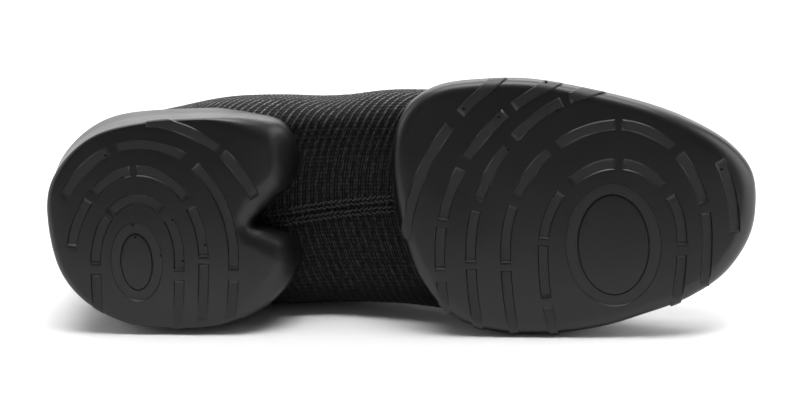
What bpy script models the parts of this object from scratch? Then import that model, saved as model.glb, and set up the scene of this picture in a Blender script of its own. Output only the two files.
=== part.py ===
"""Split-sole dance sneaker, right foot, lying on its medial side.

Shoe frame: x from the back of the heel to the toe, +y medial, -y lateral, z up from the tread.
The finished shoe is then laid down on its medial side, with the treads towards -Y.
"""
import math

import bmesh
import bpy
import numpy as np
from mathutils import Matrix, Vector

# Driving sizes in metres
LENGTH = 0.265            # back of the heel sole to the tip of the toe
BALL_WIDTH = 0.097        # forefoot sole at its widest
HEEL_WIDTH = 0.080        # heel sole at its widest
HEEL_HEIGHT = 0.019       # tread to the underside of the upper at the heel
FORE_HEIGHT = 0.008       # tread to the underside of the upper at the ball
COLLAR_HEIGHT = 0.092     # tread to the collar edge at the back
INSTEP_HEIGHT = 0.084     # tread to the front end of the collar
TOE_SPRING = 0.0105       # rise of the tread at the tip of the toe
TREAD_SKEW = 0.05         # the treads' medial side lies further back, per unit of width
WALL = 0.0022             # wall of the upper
FIT_GAP = 0.0003          # between pieces that touch
CUFF_STEP = 0.0010        # the rib cuff stands out this far from the upper
SEAM_STEP = 0.0008        # so does the seam under the arch
INSOLE_THICKNESS = 0.0025
BAR_WIDTH = 0.0039        # tread bars
BAR_DEPTH = 0.0009
BADGE_DEPTH = 0.0005

# Places along the shoe, shares of its length
HEEL_FAN = 35 / 265       # behind it the ribs of the upper fan round the heel
TOE_FAN = 225 / 265       # ahead of it they fan round the toe
COLLAR_BACK = 8 / 265
COLLAR_FRONT = 112 / 265
CUFF_FRONT = 123 / 265
ARCH_START = 80 / 265     # the upper is closed underneath from here
ARCH_END = 150 / 265      # to here
SEAM_START = 86 / 265
SEAM_END = 127 / 265
UPPER_BACK = 3.2 / 265
UPPER_TOE = 260.5 / 265

# Upper, half widths at the belly of its side: share of length, then shares of ball width
SIDE_TABLE = [
    # x      medial  lateral
    (0.132, 0.367, 0.378),
    (0.226, 0.388, 0.408),
    (0.321, 0.400, 0.413),
    (0.396, 0.403, 0.411),
    (0.491, 0.408, 0.437),
    (0.566, 0.428, 0.449),
    (0.660, 0.464, 0.464),
    (0.755, 0.455, 0.414),
    (0.849, 0.383, 0.317),
]
# Underside of the upper: share of length, then height as a share from the ball (0) to the heel (1)
BED_TABLE = [
    (0.00, 1.12), (0.13, 1.00), (0.24, 1.00), (0.33, 1.14), (0.40, 1.24), (0.49, 0.74),
    (0.57, 0.24), (0.66, 0.00), (0.76, 0.00), (0.85, 0.12), (0.93, 0.40), (1.00, 0.75),
]
# Belly above the underside: share of length, share of instep height
BELLY_TABLE = [(0.0, 0.18), (0.3, 0.20), (0.45, 0.19), (0.66, 0.11), (0.85, 0.095), (1.0, 0.085)]
# Collar edge: share of length, share of collar height
COLLAR_TABLE = [(0.03, 1.0), (0.13, 0.93), (0.23, 0.87), (0.34, 0.875), (0.423, 0.913)]
# Ridge of the vamp: share of length, share of instep height
RIDGE_TABLE = [
    (0.423, 1.0), (0.49, 0.89), (0.566, 0.75), (0.66, 0.62), (0.755, 0.53), (0.849, 0.46),
]
# Half width of the opening before it closes to the front: share of length, shares of ball width
OPENING_TABLE = [
    # x     medial  lateral
    (0.13, 0.295, 0.295),
    (0.21, 0.300, 0.332),
    (0.30, 0.305, 0.372),
    (0.43, 0.310, 0.350),
]

# Soles in plan, once round: share of length, share of the pod's width (medial positive)
HEEL_OUTLINE = [
    (-0.004, -0.030), (0.011, 0.190), (0.046, 0.346), (0.103, 0.460), (0.168, 0.500),
    (0.234, 0.499), (0.292, 0.453), (0.334, 0.354), (0.353, 0.232), (0.341, 0.121),
    (0.309, 0.060), (0.287, 0.027), (0.309, -0.054), (0.341, -0.144), (0.349, -0.277),
    (0.330, -0.424), (0.283, -0.482), (0.218, -0.492), (0.141, -0.487), (0.075, -0.446),
    (0.029, -0.348), (0.000, -0.203),
]
FORE_OUTLINE = [
    (0.487, -0.100), (0.496, 0.040), (0.511, 0.185), (0.537, 0.310), (0.569, 0.408),
    (0.610, 0.468), (0.664, 0.497), (0.724, 0.500), (0.785, 0.481), (0.845, 0.437),
    (0.907, 0.382), (0.958, 0.299), (0.992, 0.166), (1.000, 0.025), (0.991, -0.095),
    (0.958, -0.204), (0.905, -0.299), (0.838, -0.382), (0.762, -0.444), (0.681, -0.492),
    (0.616, -0.500), (0.556, -0.487), (0.517, -0.435), (0.494, -0.350), (0.485, -0.230),
]

# Badges: centre and half axes of the outer and the inner oval, x in shares of length,
# y in shares of ball width
HEEL_BADGE = [(0.1235, 0.142), (0.0370, 0.155), (0.0226, 0.111)]
FORE_BADGE = [(0.7975, 0.156), (0.0675, 0.240), (0.0502, 0.195)]
# Tread rings round the badges: reach of a ring's middle line from the badge's centre
HEEL_RINGS = [
    # back   front  lateral medial
    (0.0585, 0.0604, 0.247, 0.72),
    (0.0940, 0.0951, 0.356, 0.82),
    (0.1245, 0.1377, 0.458, 0.82),
    (0.1660, 0.1850, 0.546, 0.82),
]
FORE_RINGS = [
    (0.0989, 0.0962, 0.314, 0.62),
    (0.1517, 0.1321, 0.464, 0.82),
    (0.2008, 0.1717, 0.603, 0.93),
    (0.2445, 0.2150, 0.675, 0.93),
    (0.2936, 0.2640, 0.789, 0.93),
]
# Bars: ring, start and end in degrees round the badge (0 toe, 90 medial, 180 heel, 270 lateral)
HEEL_BARS = [
    (1, 232, 305), (1, 319, 363), (1, 366.5, 385), (1, 130, 176.5), (1, 180, 226),
    (2, 230, 265), (2, 271, 318), (2, 325, 358.5), (2, 361.5, 377), (2, 192, 224),
    (3, 216, 252), (3, 258, 299), (3, 308, 363), (3, 366.5, 377),
    (4, 275, 309), (4, 312, 335),
]
FORE_BARS = [
    (1, 233, 270), (1, 278, 317), (1, 326, 361), (1, 365, 390), (1, 187, 221), (1, 162, 181),
    (1, 144, 158),
    (2, 239, 270), (2, 275, 308), (2, 314, 342), (2, 347, 373), (2, 206, 233), (2, 176.5, 201),
    (2, 156, 174),
    (3, 252, 270), (3, 226, 248), (3, 199, 221), (3, 177.5, 195), (3, 160, 175.5),
    (3, 330.5, 358),
    (4, 235, 252), (4, 212, 231), (4, 191, 208), (4, 176, 188), (4, 164, 172.5),
    (5, 223, 238), (5, 184, 218),
]


def interpolate(table, x):
    """Smooth curve through the rows (x, value) of a table, level beyond its ends."""
    xs = [row[0] for row in table]
    x = min(max(x, xs[0]), xs[-1])
    i = min(max(np.searchsorted(xs, x) - 1, 0), len(xs) - 2)
    slopes = []
    for k in (i, i + 1):
        lo, hi = max(k - 1, 0), min(k + 1, len(xs) - 1)
        slopes.append((table[hi][1] - table[lo][1]) / (xs[hi] - xs[lo]))
    span = xs[i + 1] - xs[i]
    t = (x - xs[i]) / span
    a, b = table[i][1], table[i + 1][1]
    return ((2 * t**3 - 3 * t**2 + 1) * a + (t**3 - 2 * t**2 + t) * span * slopes[0]
            + (3 * t**2 - 2 * t**3) * b + (t**3 - t**2) * span * slopes[1])


def smooth_step(x, start, end):
    """0 before start, 1 after end."""
    t = min(max((x - start) / (end - start), 0.0), 1.0)
    return t * t * (3 - 2 * t)


def bed(x):
    """Height of the underside of the upper at x."""
    return FORE_HEIGHT + (HEEL_HEIGHT - FORE_HEIGHT) * interpolate(BED_TABLE, x / LENGTH)


# Where the treads leave the flat: start and end as shares of length, rise at the end
HEEL_BEVEL = (0.038, 0.0, 0.0012)
LOBE_RISE = (0.253, 0.355, 0.53 * HEEL_HEIGHT)
TOE_RISE = (0.838, 1.0, TOE_SPRING)
REAR_RISE = (0.566, 0.491, 0.0022)
# Crown across a tread: its lowest line as a share of the pod's width, rise at the lateral edge
HEEL_CROWN = (0.0625, 0.0018)
FORE_CROWN = (0.155, 0.0032)


def curl(x, rise):
    """Parabola from its start to its rise at its end, zero on the flat side."""
    start, end, height = rise
    return height * max((x / LENGTH - start) / (end - start), 0) ** 2


def crown(y, width, shape):
    """Rise of a tread to both sides of its lowest line."""
    low, rise = shape
    return rise * ((y / width - low) / (0.5 + low)) ** 2


def heel_ground(p):
    """Tread surface of the heel pod before its edge is rolled: flat, then up along the lobes."""
    return curl(p.x, HEEL_BEVEL) + curl(p.x, LOBE_RISE) + crown(p.y, HEEL_WIDTH, HEEL_CROWN)


def fore_ground(p):
    """Tread surface of the forefoot pod: flat under the ball, toe spring, slight rise behind."""
    return curl(p.x, TOE_RISE) + curl(p.x, REAR_RISE) + crown(p.y, BALL_WIDTH, FORE_CROWN)


def skewed(x, y):
    """Plan point of a tread from its place in the tables, in metres."""
    return Vector((x - TREAD_SKEW * y, y))


def belly(x):
    return bed(x) + INSTEP_HEIGHT * interpolate(BELLY_TABLE, x / LENGTH)


def half_width(table, x, side):
    """Half width on the medial (side > 0) or lateral side."""
    column = 1 if side > 0 else 2
    return BALL_WIDTH * interpolate([(row[0], row[column]) for row in table], x / LENGTH)


FAN_EXPONENT = {"heel": 2.25, "toe": 1.95}
HEEL_FAN_STEPS = 14
TOE_FAN_STEPS = 12
# Ribs along the sides, shares of length; close together at the seam and the collar's front
SIDE_STATIONS = [0.178, 0.226, 0.264, ARCH_START, SEAM_START - 0.004, SEAM_START, 0.358, 0.385,
                 0.404, 0.415, 0.421, COLLAR_FRONT, 0.440, CUFF_FRONT, CUFF_FRONT + 0.005, SEAM_END,
                 SEAM_END + 0.004, 0.525, ARCH_END, 0.605, 0.65, 0.70, 0.75, 0.80]


def rib_list():
    """Ribs once round the shoe: anchor x, direction and reach in plan."""
    heel_x, toe_x = HEEL_FAN * LENGTH, TOE_FAN * LENGTH
    ribs = []
    xs = [heel_x] + [s * LENGTH for s in SIDE_STATIONS] + [toe_x]
    medial = [(x, (0.0, 1.0), half_width(SIDE_TABLE, x, 1)) for x in xs]
    lateral = [(x, (0.0, -1.0), half_width(SIDE_TABLE, x, -1)) for x in reversed(xs)]

    def fan(x, start, steps, ahead, exponent):
        out = []
        for k in range(1, steps):
            angle = math.radians(start - 180 * k / steps)
            c, s = math.cos(angle), math.sin(angle)
            across = half_width(SIDE_TABLE, x, s)
            reach = ((abs(c) / ahead)**exponent + (abs(s) / across)**exponent) ** (-1 / exponent)
            out.append((x, (c, s), reach))
        return out

    ribs += medial
    ribs += fan(toe_x, 90, TOE_FAN_STEPS, UPPER_TOE * LENGTH - toe_x, FAN_EXPONENT["toe"])
    ribs += lateral
    ribs += fan(heel_x, 270, HEEL_FAN_STEPS, heel_x - UPPER_BACK * LENGTH, FAN_EXPONENT["heel"])
    return ribs


TINY = 1e-9
COLLAR_EXPONENT = 3.2     # the collar's sides run straight, then close in a round front


def collar_reach(x, direction):
    """Half opening along a rib, zero ahead of the collar."""
    half = half_width(OPENING_TABLE, x, direction[1])
    heel_x, front_x = HEEL_FAN * LENGTH, COLLAR_FRONT * LENGTH
    if x <= heel_x + TINY:
        back = heel_x - COLLAR_BACK * LENGTH
        c, s = direction
        return 1 / math.hypot(c / back, s / half)
    share = (x - heel_x) / (front_x - heel_x)
    if share >= 1 - TINY:
        return 0.0
    return half * math.sqrt(1 - share**COLLAR_EXPONENT)


# Rows of a rib: the underside from the centre line out, the rounded feather edge, the side
UNDER_ROWS = [0.0, "seam", "seam edge", 0.34, 0.56, 0.66, 0.80]
SEAM_HALF = 0.0024
SEAM_EDGE = 0.0006        # the seam's step down to the upper
SIDE_EXPONENT = 1.1       # fullness of the sides in cross-section
VAMP_START = 0.23         # share of length from which the sides round over towards the ridge
MARGIN_ROW = 5
FLAT_ROW = 6
FLAT_SHARE = 0.80
FEATHER_ROWS = [28, 54, 76, 90]
CUFF_SHARE = 0.815        # the cuff's lower edge on its way up the side
SIDE_ROWS = [0.15, 0.31, 0.48, 0.65, 0.80, CUFF_SHARE, 0.91, 1.0]
CUFF_ROW = len(UNDER_ROWS) + len(FEATHER_ROWS) + SIDE_ROWS.index(CUFF_SHARE)


def rib_points(rib):
    """Outer face of the upper along one rib, from the bottom centre line to the top."""
    x0, (c, s), reach = rib
    collar = collar_reach(x0, (c, s))
    tip_x = x0 + c * reach
    low, mid = bed(tip_x), belly(tip_x)
    opening = x0 < COLLAR_FRONT * LENGTH - TINY
    if opening:
        top = COLLAR_HEIGHT * interpolate(COLLAR_TABLE, (x0 + c * collar) / LENGTH)
    else:
        top = INSTEP_HEIGHT * interpolate(RIDGE_TABLE, x0 / LENGTH)
    vamp = smooth_step(x0 / LENGTH, VAMP_START, COLLAR_FRONT)
    points = []

    def put(r, z):
        points.append(Vector((x0 + c * r, s * r, z)))

    for row in UNDER_ROWS:
        r = {"seam": SEAM_HALF, "seam edge": SEAM_HALF + SEAM_EDGE}.get(row)
        if r is None:
            r = row * reach
        put(r, bed(x0 + c * r))
    for degrees in FEATHER_ROWS:
        t = math.radians(degrees)
        r = reach * (FLAT_SHARE + (1 - FLAT_SHARE) * math.sin(t))
        put(r, low + (mid - low) * (1 - math.cos(t)))
    for share in SIDE_ROWS:
        t = math.radians(90 * share)
        rise = share * (1 - vamp) + math.sin(t) * vamp
        put(collar + (reach - collar) * math.cos(t) ** SIDE_EXPONENT if share < 1 else collar,
            mid + (top - mid) * rise)
    return points


WELD_DIGITS = 7           # points that agree to this many decimals of a metre are one


class Form:
    """Grid of ribs and rows welded where ribs meet, with a normal at each point."""

    def __init__(self):
        self.ribs = rib_list()
        self.points, self.index = [], []
        seen = {}
        for rib in self.ribs:
            column = []
            for point in rib_points(rib):
                key = tuple(round(v, WELD_DIGITS) for v in point)
                if key not in seen:
                    seen[key] = len(self.points)
                    self.points.append(point)
                column.append(seen[key])
            self.index.append(column)
        self.rows = len(self.index[0])
        self.normals = self.point_normals()

    def face(self, i, j):
        """One cell of the grid, facing out, or None where it has no area."""
        k = (i + 1) % len(self.ribs)
        corners = [self.index[i][j], self.index[i][j + 1], self.index[k][j + 1], self.index[k][j]]
        corners = [v for n, v in enumerate(corners) if v not in corners[:n]]
        return corners if len(corners) > 2 else None

    def cells(self, keep):
        out = []
        for i in range(len(self.ribs)):
            for j in range(self.rows - 1):
                if keep(i, j) and self.face(i, j):
                    out.append(self.face(i, j))
        return out

    def point_normals(self):
        sums = [Vector() for _ in self.points]
        for face in self.cells(lambda i, j: True):
            corners = [self.points[v] for v in face]
            normal = Vector()
            for a, b in zip(corners, corners[1:] + corners[:1]):
                normal += a.cross(b)
            for v in face:
                sums[v] += normal.normalized()
        return [n.normalized() for n in sums]

    def rib_x(self, i):
        """Mean anchor x of the cells between rib i and the next."""
        return (self.ribs[i][0] + self.ribs[(i + 1) % len(self.ribs)][0]) / 2

    def collar_rim(self):
        """Points round the collar opening."""
        rim = []
        for i, rib in enumerate(self.ribs):
            if rib[0] <= COLLAR_FRONT * LENGTH + TINY and self.index[i][-1] not in rim:
                rim.append(self.index[i][-1])
        return rim


def shell(form, faces, outer, inner):
    """Closed mesh between two offsets of the form: cells, their backs and the rims."""
    used = sorted({v for face in faces for v in face})
    place = {v: n for n, v in enumerate(used)}
    count = len(used)
    verts = [form.points[v] + form.normals[v] * outer(v) for v in used]
    verts += [form.points[v] + form.normals[v] * inner(v) for v in used]
    out = [[place[v] for v in face] for face in faces]
    out += [[place[v] + count for v in reversed(face)] for face in faces]
    edges = {(a, b) for face in faces for a, b in zip(face, face[1:] + face[:1])}
    for a, b in sorted(edges):
        if (b, a) not in edges:
            out.append([place[b], place[a], place[a] + count, place[b] + count])
    return verts, out


def make_object(name, verts, faces, color, roughness, sharp=40):
    mesh = bpy.data.meshes.new(name)
    mesh.from_pydata([tuple(v) for v in verts], [], faces)
    bm = bmesh.new()
    bm.from_mesh(mesh)
    bmesh.ops.triangulate(bm, faces=[f for f in bm.faces if len(f.verts) > 3])
    bmesh.ops.recalc_face_normals(bm, faces=bm.faces)
    bm.to_mesh(mesh)
    bm.free()
    mesh.shade_smooth()
    mesh.set_sharp_from_angle(angle=math.radians(sharp))
    obj = bpy.data.objects.new(name, mesh)
    bpy.context.scene.collection.objects.link(obj)
    if color:
        material = bpy.data.materials.new(name)
        material.use_nodes = True
        shader = material.node_tree.nodes["Principled BSDF"]
        shader.inputs["Base Color"].default_value = (*color, 1)
        shader.inputs["Roughness"].default_value = roughness
        shader.inputs["Metallic"].default_value = 0.0
        mesh.materials.append(material)
    return obj


def make_upper(form):
    seam_points, cuff_points = set(), set()
    for i, rib in enumerate(form.ribs):
        share = rib[0] / LENGTH
        if SEAM_START - TINY <= share <= SEAM_END + TINY:
            seam_points.update(form.index[i][:2])
        if share <= CUFF_FRONT + TINY:
            cuff_points.update(form.index[i][CUFF_ROW:])
    arch = (ARCH_START * LENGTH, ARCH_END * LENGTH)

    def keep(i, j):
        return j >= MARGIN_ROW or arch[0] < form.rib_x(i) < arch[1]

    def outer(v):
        return SEAM_STEP if v in seam_points else CUFF_STEP if v in cuff_points else 0.0

    verts, faces = shell(form, form.cells(keep), outer, lambda v: -WALL)
    return make_object("upper", verts, faces, (0.012, 0.012, 0.013), 0.85)


def make_insole(form):
    faces = form.cells(lambda i, j: j < FLAT_ROW)
    under = WALL + FIT_GAP
    verts, faces = shell(form, faces, lambda v: -under, lambda v: -under - INSOLE_THICKNESS)
    return make_object("insole", verts, faces, (0.035, 0.035, 0.038), 0.8)


def foot_cutter(form):
    """The whole upper as one closed form, grown by the fit gap: it hollows the pods."""
    faces = form.cells(lambda i, j: True)
    verts = [p + n * FIT_GAP for p, n in zip(form.points, form.normals)]
    faces.append(form.collar_rim())
    return make_cutter("foot_form", verts, faces)


def make_cutter(name, verts, faces):
    cutter = make_object(name, verts, faces, None, None)
    cutter.hide_render = True
    cutter.display_type = "WIRE"
    return cutter


CURVE_STEPS = 12


def closed_curve(points, count):
    """Even points along the smooth closed curve through the given ones."""
    n, fine = len(points), []
    for i in range(n):
        p = [Vector(points[(i + k) % n]) for k in (-1, 0, 1, 2)]
        for k in range(CURVE_STEPS):
            t = k / CURVE_STEPS
            fine.append(0.5 * (2 * p[1] + (p[2] - p[0]) * t
                               + (2 * p[0] - 5 * p[1] + 4 * p[2] - p[3]) * t**2
                               + (3 * p[1] - p[0] - 3 * p[2] + p[3]) * t**3))
    lengths = np.cumsum([0] + [(fine[(i + 1) % len(fine)] - fine[i]).length
                               for i in range(len(fine))])
    out = []
    for target in np.linspace(0, lengths[-1], count, endpoint=False):
        i = int(np.searchsorted(lengths, target, side="right")) - 1
        a, b = fine[i], fine[(i + 1) % len(fine)]
        out.append(a.lerp(b, (target - lengths[i]) / (lengths[i + 1] - lengths[i])))
    return out


# Side walls above the rolled edge: share of the way up, inset; a ridge, then a set-in rim band
HEEL_WALL = [(0.50, 0.0), (0.54, 0.0004), (1.0, -0.0004)]
FORE_WALL = [(0.55, 0.0004), (1.0, 0.0012)]
# How much further a pod's rim stands in (or out, where negative) at these places
HEEL_LEAN = {"corner": -0.0014, "inward": 0.0015}
TOE_LEAN = -0.0008
HEEL_RISE = 0.0075        # rim above the underside of the upper
FORE_RISE = 0.0055
HEEL_MIDDLE = 0.177       # x of a pod's middle, share of length
FORE_MIDDLE = 0.743
LID_RISE = 0.004          # the blank's lid peaks this far above its rim, inside the foot form
ROLL_DEGREES = [0, 30, 60, 90]
CORE_SHARES = [0.62, 0.28]
HEEL_SIDES = 56           # facets once round a pod
FORE_SIDES = 62


def heel_lean(p):
    """The heel's rim leans out at the lateral back corner, in at the lobes and medial side."""
    corner = smooth_step(-p.y / HEEL_WIDTH, 0.0, 0.30) * (1 - smooth_step(p.x / LENGTH, 0.08, 0.20))
    inward = max(smooth_step(p.x / LENGTH, 0.22, 0.32), smooth_step(p.y / HEEL_WIDTH, 0.10, 0.35))
    return HEEL_LEAN["corner"] * corner + HEEL_LEAN["inward"] * inward


def fore_lean(p):
    return TOE_LEAN * smooth_step(p.x / LENGTH, 0.80, 0.90)


def make_pod(name, outline, width, count, middle_share, ground, roll, lean, wall_levels, rise):
    """Moulded blank of one pod: tread, rolled edge, side wall, lid inside the foot form."""
    loop = closed_curve([skewed(x * LENGTH, y * width) for x, y in outline], count)
    middle = Vector((middle_share * LENGTH, 0))
    inward = []
    for i, point in enumerate(loop):
        tangent = (loop[(i + 1) % count] - loop[i - 1]).normalized()
        normal = Vector((-tangent.y, tangent.x))
        inward.append(normal if normal.dot(middle - point) > 0 else -normal)
    levels = []
    flat = [loop[i] + inward[i] * roll(loop[i]) for i in range(count)]
    for share in reversed(CORE_SHARES):
        core = [middle.lerp(p, share) for p in flat]
        levels.append([Vector((*p, ground(p))) for p in core])
    for degrees in ROLL_DEGREES:
        t = math.radians(degrees)
        level = []
        for i, point in enumerate(loop):
            r = roll(point)
            p = point + inward[i] * r * (1 - math.sin(t))
            level.append(Vector((*p, ground(p) + r * (1 - math.cos(t)))))
        levels.append(level)
    for share, inset in wall_levels:
        level = []
        for i, point in enumerate(loop):
            start = ground(point) + roll(point)
            end = bed(point.x) + rise
            p = point + inward[i] * (inset + lean(point) * share)
            level.append(Vector((*p, start + (end - start) * share)))
        levels.append(level)
    verts = [Vector((*middle, ground(middle)))]
    verts += [p for level in levels for p in level]
    verts.append(Vector((*middle, bed(middle.x) + rise + LID_RISE)))
    faces = []
    for i in range(count):
        k = (i + 1) % count
        faces.append([0, 1 + k, 1 + i])
        for n in range(len(levels) - 1):
            a, b = 1 + n * count, 1 + (n + 1) * count
            faces.append([a + i, a + k, b + k, b + i])
        last = 1 + (len(levels) - 1) * count
        faces.append([last + i, last + k, len(verts) - 1])
    return make_object(name, verts, faces, (0.03, 0.03, 0.031), 0.5)


def ring_point(badge, ring, degrees):
    """Point on a ring: four quarter ellipses with their own reach."""
    back, front, lateral, medial = ring
    c, s = math.cos(math.radians(degrees)), math.sin(math.radians(degrees))
    x, y = badge[0]
    return skewed((x + c * (front if c > 0 else back)) * LENGTH,
                  (y + s * (medial if s > 0 else lateral)) * BALL_WIDTH)


BELOW = 0.004             # the cutters start this far outside the tread


def bar_mesh(centre_line, width, ground, depth, closed):
    """Box swept along a line in plan, from under the tread up to the bar's floor."""
    n = len(centre_line)
    verts, faces = [], []
    for i, p in enumerate(centre_line):
        if closed:
            tangent = centre_line[(i + 1) % n] - centre_line[i - 1]
        else:
            tangent = centre_line[min(i + 1, n - 1)] - centre_line[max(i - 1, 0)]
        side = Vector((-tangent.y, tangent.x)).normalized() * width / 2
        for q, z in ((p + side, -BELOW), (p - side, -BELOW), (p - side, depth), (p + side, depth)):
            verts.append(Vector((*q, ground(q) + z)))
    for i in range(n if closed else n - 1):
        a, b = 4 * i, 4 * ((i + 1) % n)
        faces += [[a + k, a + (k + 1) % 4, b + (k + 1) % 4, b + k] for k in range(4)]
    if not closed:
        faces += [[0, 3, 2, 1], [4 * n - 4, 4 * n - 3, 4 * n - 2, 4 * n - 1]]
    return verts, faces


BAR_PIECE = 0.0095        # longest straight piece of a bar
BADGE_SIDES = 24


def tread_cutter(name, badge, rings, bars, ground):
    """All bars of one pod and its badge's ring as one cutter."""
    verts, faces = [], []

    def add(piece):
        start = len(verts)
        verts.extend(piece[0])
        faces.extend([[v + start for v in face] for face in piece[1]])

    for ring, start, end in bars:
        reach = rings[ring - 1]
        ends = [ring_point(badge, reach, a) for a in (start, end)]
        count = max(2, math.ceil((ends[1] - ends[0]).length / BAR_PIECE) + 1)
        line = [ring_point(badge, reach, a) for a in np.linspace(start, end, count)]
        add(bar_mesh(line, BAR_WIDTH, ground, BAR_DEPTH, False))
    centre, outer, inner = badge
    half = [(outer[k] + inner[k]) / 2 for k in (0, 1)]
    line = [skewed((centre[0] + half[0] * math.cos(a)) * LENGTH,
                   (centre[1] + half[1] * math.sin(a)) * BALL_WIDTH)
            for a in np.linspace(0, 2 * math.pi, BADGE_SIDES, endpoint=False)]
    add(bar_mesh(line, (outer[0] - inner[0]) * LENGTH, ground, BADGE_DEPTH, True))
    return make_cutter(name, verts, faces)


def cut(target, cutter):
    modifier = target.modifiers.new(cutter.name, "BOOLEAN")
    modifier.operation = "DIFFERENCE"
    modifier.solver = "EXACT"
    modifier.object = cutter


# Radius of a tread's edge
HEEL_ROLL = {"back": 0.0026, "side": 0.0014, "lobe": 0.0090}
FORE_ROLL = {"ball": 0.0048, "toe": 0.0060}


def heel_roll(p):
    """Soft at the back, crisp along the sides, wide along the lobes."""
    sideways = smooth_step(abs(p.y) / HEEL_WIDTH, 0.25, 0.42)
    radius = HEEL_ROLL["back"] + (HEEL_ROLL["side"] - HEEL_ROLL["back"]) * sideways
    return radius + (HEEL_ROLL["lobe"] - radius) * smooth_step(p.x / LENGTH, 0.220, 0.321)


def fore_roll(p):
    toe = smooth_step(p.x / LENGTH, 0.85, 0.96)
    return FORE_ROLL["ball"] + (FORE_ROLL["toe"] - FORE_ROLL["ball"]) * toe


def solid_points(objects):
    """Corners and centre of volume of the finished solids, in the shoe frame."""
    bpy.context.view_layer.update()
    graph = bpy.context.evaluated_depsgraph_get()
    points, volume, moment = [], 0.0, Vector()
    for obj in objects:
        mesh = obj.evaluated_get(graph).to_mesh()
        mesh.calc_loop_triangles()
        points += [v.co.copy() for v in mesh.vertices]
        for triangle in mesh.loop_triangles:
            a, b, c = (mesh.vertices[k].co for k in triangle.vertices)
            piece = a.dot(b.cross(c)) / 6
            volume += piece
            moment += piece * (a + b + c) / 4
    return points, moment / volume


SIDE_FACING = 0.8         # least lean of a face towards the medial side that the shoe may lie on


def resting_matrix(points, centre):
    """Turn and shift that lay the shoe on its medial side, steady on three points."""
    bm = bmesh.new()
    for point in points:
        bm.verts.new(point)
    bmesh.ops.convex_hull(bm, input=bm.verts)
    bmesh.ops.recalc_face_normals(bm, faces=bm.faces)
    best = (False, 0.0, Vector((0, 1, 0)))
    for face in bm.faces:
        normal = face.normal
        if normal.y < SIDE_FACING:
            continue
        corners = [v.co for v in face.verts]
        foot = centre + normal * (corners[0] - centre).dot(normal)
        steady = all((b - a).cross(foot - a).dot(normal) > 0
                     for a, b in zip(corners, corners[1:] + corners[:1]))
        area = face.calc_area()
        if (steady, area) > best[:2]:
            best = (steady, area, normal.copy())
    bm.free()
    up = -best[2]
    toe = (Vector((1, 0, 0)) - up * up.x).normalized()
    turn = Matrix((toe, up.cross(toe), up)).to_4x4()
    laid = [turn @ p for p in points]
    low = [min(p[k] for p in laid) for k in range(3)]
    high = [max(p[k] for p in laid) for k in range(3)]
    shift = Vector((-(low[0] + high[0]) / 2, -(low[1] + high[1]) / 2, -low[2]))
    return Matrix.Translation(shift) @ turn


def build():
    for obj in list(bpy.data.objects):
        bpy.data.objects.remove(obj, do_unlink=True)
    form = Form()
    upper = make_upper(form)
    insole = make_insole(form)
    heel = make_pod("heel_sole", HEEL_OUTLINE, HEEL_WIDTH, HEEL_SIDES, HEEL_MIDDLE, heel_ground,
                    heel_roll, heel_lean, HEEL_WALL, HEEL_RISE)
    fore = make_pod("forefoot_sole", FORE_OUTLINE, BALL_WIDTH, FORE_SIDES, FORE_MIDDLE, fore_ground,
                    fore_roll, fore_lean, FORE_WALL, FORE_RISE)
    foot = foot_cutter(form)
    heel_tread = tread_cutter("heel_tread_form", HEEL_BADGE, HEEL_RINGS, HEEL_BARS, heel_ground)
    fore_tread = tread_cutter("fore_tread_form", FORE_BADGE, FORE_RINGS, FORE_BARS, fore_ground)
    cut(heel, foot)
    cut(heel, heel_tread)
    cut(fore, foot)
    cut(fore, fore_tread)
    solids = [upper, insole, heel, fore]
    laid = resting_matrix(*solid_points(solids))
    shoe = bpy.data.objects.new("shoe_frame", None)
    bpy.context.scene.collection.objects.link(shoe)
    shoe.location = laid.to_translation()
    shoe.rotation_euler = laid.to_euler()
    for obj in solids + [foot, heel_tread, fore_tread]:
        obj.parent = shoe


build()
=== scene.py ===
"""Looks of the split-sole dance sneaker: dense moulded pods, knit upper with its arch seam, floor,
light and camera. Shoe frame in the tables and functions below: x heel to toe, +y medial, z up
from the tread, in metres."""
import math

import bmesh
import bpy
import numpy as np
from mathutils import Euler, Matrix, Quaternion, Vector
from mathutils.geometry import delaunay_2d_cdt


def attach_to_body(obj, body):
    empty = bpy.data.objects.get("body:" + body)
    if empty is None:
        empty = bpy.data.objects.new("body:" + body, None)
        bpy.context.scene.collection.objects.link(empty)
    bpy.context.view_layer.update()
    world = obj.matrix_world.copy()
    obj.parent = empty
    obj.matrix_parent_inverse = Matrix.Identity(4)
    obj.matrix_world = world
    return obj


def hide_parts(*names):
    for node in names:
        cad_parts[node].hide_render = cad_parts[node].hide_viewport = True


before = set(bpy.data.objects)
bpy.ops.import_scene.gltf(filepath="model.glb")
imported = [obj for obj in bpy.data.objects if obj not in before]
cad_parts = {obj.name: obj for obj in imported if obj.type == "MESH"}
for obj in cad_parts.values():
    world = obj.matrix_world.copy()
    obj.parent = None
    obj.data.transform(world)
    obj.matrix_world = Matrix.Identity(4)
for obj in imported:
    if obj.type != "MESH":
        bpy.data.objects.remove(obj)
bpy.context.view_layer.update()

# How the CAD shoe lies: turn and shift from the shoe frame
LAID_TURN = Euler((math.radians(-98.1439), math.radians(-2.8515), 0.0))
LAID_SHIFT = Vector((-0.131477, -0.043433, 0.040144))
LAID = Matrix.Translation(LAID_SHIFT) @ LAID_TURN.to_matrix().to_4x4()

# Driving sizes, as in the CAD part
LENGTH = 0.265
BALL_WIDTH = 0.097
HEEL_WIDTH = 0.080
HEEL_HEIGHT = 0.019
FORE_HEIGHT = 0.008
COLLAR_HEIGHT = 0.092
INSTEP_HEIGHT = 0.084
TOE_SPRING = 0.0105
TREAD_SKEW = 0.05
PLAN = np.array([LENGTH, BALL_WIDTH])
WALL = 0.0022
MM = 0.001

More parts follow.
